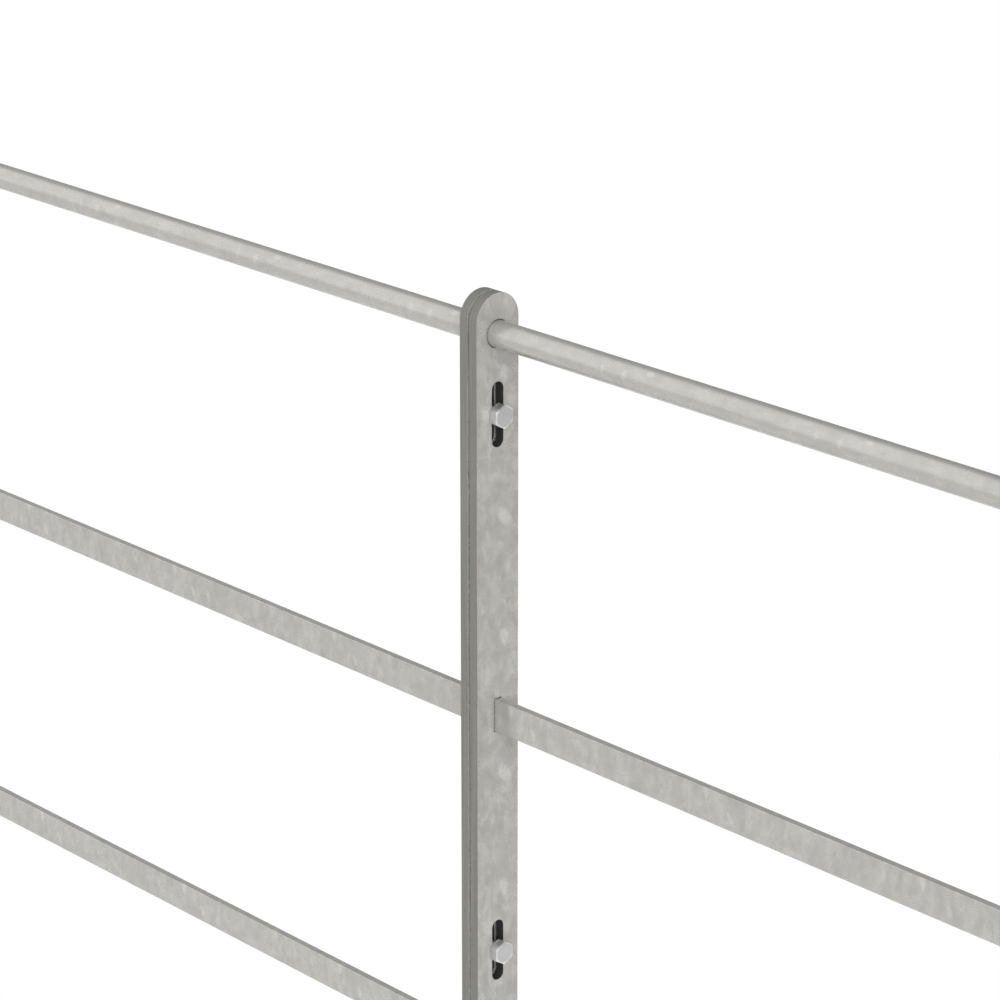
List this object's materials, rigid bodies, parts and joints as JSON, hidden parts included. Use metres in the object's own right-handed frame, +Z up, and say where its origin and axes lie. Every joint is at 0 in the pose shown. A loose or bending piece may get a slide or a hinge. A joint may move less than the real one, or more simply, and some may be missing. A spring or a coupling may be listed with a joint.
{
  "type": "estate fence",
  "caption": "Galvanised estate fence: flat uprights with round tops, flat lower rails and a round top rail, its sections bolted together through upright slots.",
  "frame": {"origin": "centre of the ground-level foot of the right section's joint post, the right-hand one of the two posts that are bolted together in the middle of the fence", "axes": "+X along the fence, +Y across it, +Z up. The picture looks from the -Y side and a little from +X."},
  "size_m": [4.02, 0.04, 1.1999],
  "materials": {
    "galvanised_steel": "matt hot-dip galvanised with a soft spangle",
    "zinc_plated_steel": "satin zinc plate"
  },
  "bodies": {
    "root": {"right_joint_post": "galvanised_steel", "right_mid_upright": "galvanised_steel", "right_end_post": "galvanised_steel", "right_rail_1": "galvanised_steel", "right_rail_2": "galvanised_steel", "right_rail_3": "galvanised_steel", "right_rail_4": "galvanised_steel", "right_rail_5": "galvanised_steel", "left_joint_post": "galvanised_steel", "left_mid_upright": "galvanised_steel", "left_end_post": "galvanised_steel", "left_rail_1": "galvanised_steel", "left_rail_2": "galvanised_steel", "left_rail_3": "galvanised_steel", "left_rail_4": "galvanised_steel", "left_rail_5": "galvanised_steel", "coupling_bolt_1": "zinc_plated_steel", "coupling_bolt_2": "zinc_plated_steel", "coupling_bolt_3": "zinc_plated_steel", "coupling_washer_1": "zinc_plated_steel", "coupling_washer_2": "zinc_plated_steel", "coupling_washer_3": "zinc_plated_steel", "coupling_nut_1": "zinc_plated_steel", "coupling_nut_2": "zinc_plated_steel", "coupling_nut_3": "zinc_plated_steel"}
  },
  "joints": []
}
